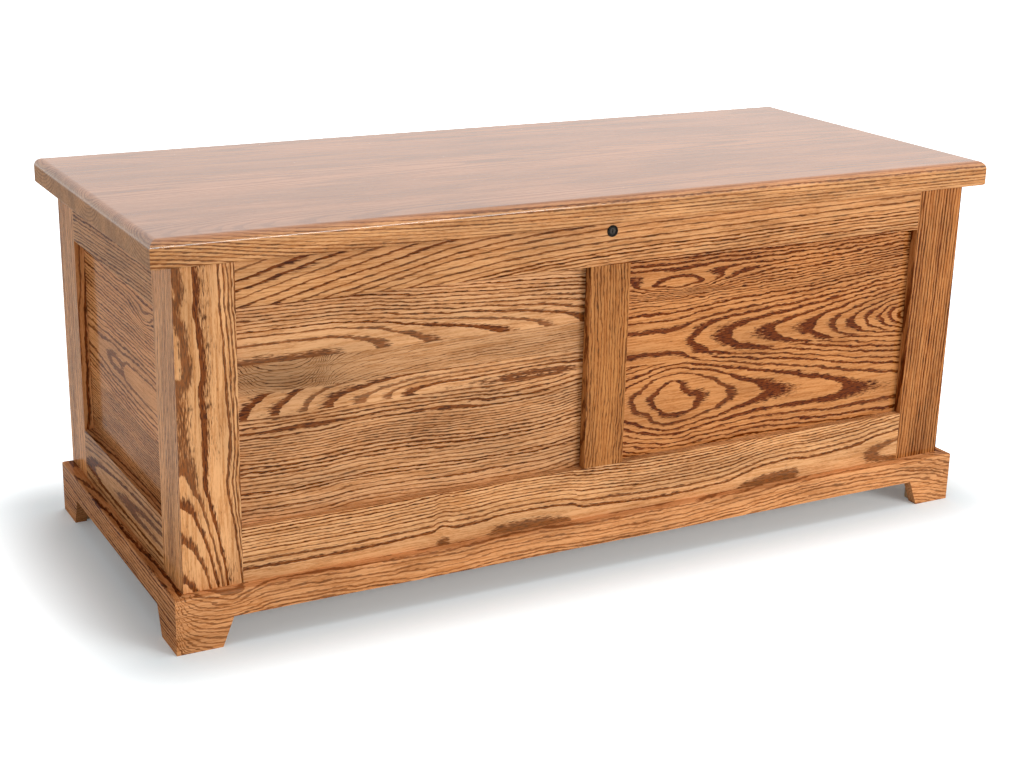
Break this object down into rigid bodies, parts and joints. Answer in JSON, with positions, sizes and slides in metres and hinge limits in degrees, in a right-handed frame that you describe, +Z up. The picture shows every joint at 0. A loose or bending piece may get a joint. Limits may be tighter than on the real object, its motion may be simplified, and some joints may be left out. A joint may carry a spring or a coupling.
{
  "type": "blanket chest",
  "caption": "Low frame-and-panel oak blanket chest with an overhanging hinged lid, a round lock in the front rail and a base with splayed bracket feet.",
  "frame": {"origin": "on the floor, at the centre of the chest's overall box, hinge barrels included", "axes": "+X along the front to the right as seen from the front, +Y from the front to the back, +Z up"},
  "size_m": [1.067, 0.464, 0.447],
  "materials": {
    "oak_frame": "stained red oak, satin lacquer",
    "oak_panel": "stained red oak, satin lacquer",
    "oak_lid": "stained red oak, satin lacquer",
    "oak_base": "stained red oak, satin lacquer",
    "cedar": "bare planed cedar",
    "secondary_wood": "bare planed poplar",
    "hinge_metal": "antique brass plating",
    "screw_steel": "brass-coloured plating",
    "lock_black": "black, semi-gloss",
    "lock_steel": "dull grey",
    "lock_plate": "zinc plated",
    "bumper": "soft brown rubber"
  },
  "bodies": {
    "case": {"back_bottom_rail": "oak_frame", "back_left_panel": "oak_panel", "back_left_stile": "oak_frame", "back_muntin": "oak_frame", "back_right_panel": "oak_panel", "back_right_stile": "oak_frame", "back_top_rail": "oak_frame", "base_front": "oak_base", "base_left": "oak_base", "base_right": "oak_base", "corner_blocks": "secondary_wood", "floor_board_1": "cedar", "floor_board_2": "cedar", "floor_board_3": "cedar", "floor_board_4": "cedar", "floor_board_5": "cedar", "floor_board_6": "cedar", "floor_cleat_front": "secondary_wood", "floor_cleat_rear": "secondary_wood", "front_bottom_rail": "oak_frame", "front_left_panel": "oak_panel", "front_left_stile": "oak_frame", "front_muntin": "oak_frame", "front_right_panel": "oak_panel", "front_right_stile": "oak_frame", "front_top_rail": "oak_frame", "hinge_case_screws": "screw_steel", "hinge_left_case_leaf": "hinge_metal", "hinge_middle_case_leaf": "hinge_metal", "hinge_pins": "hinge_metal", "hinge_right_case_leaf": "hinge_metal", "left_side_bottom_rail": "oak_frame", "left_side_front_stile": "oak_frame", "left_side_panel": "oak_panel", "left_side_rear_stile": "oak_frame", "left_side_top_rail": "oak_frame", "lock_body": "lock_black", "lock_nut": "lock_plate", "rear_bracket_left": "oak_frame", "rear_bracket_right": "oak_frame", "right_side_bottom_rail": "oak_frame", "right_side_front_stile": "oak_frame", "right_side_panel": "oak_panel", "right_side_rear_stile": "oak_frame", "right_side_top_rail": "oak_frame"},
    "lid": {"hinge_left_lid_leaf": "hinge_metal", "hinge_lid_screws": "screw_steel", "hinge_middle_lid_leaf": "hinge_metal", "hinge_right_lid_leaf": "hinge_metal", "keeper_screws": "screw_steel", "lid_bumpers": "bumper", "lid_top": "oak_lid", "lock_keeper": "lock_plate"},
    "lock_cylinder": {"lock_plug": "lock_steel", "lock_cam": "lock_plate", "lock_cam_screw": "screw_steel"}
  },
  "joints": [
    {"name": "lid_hinge", "type": "hinge", "parent": "case", "child": "lid", "pos_m": [0, 0.2275, 0.41625], "axis": [-1, 0, 0], "range_deg": [0, 95]},
    {"name": "lock_turn", "type": "hinge", "parent": "case", "child": "lock_cylinder", "pos_m": [0, -0.218, 0.4052], "axis": [0, 1, 0], "range_deg": [0, 180]}
  ]
}
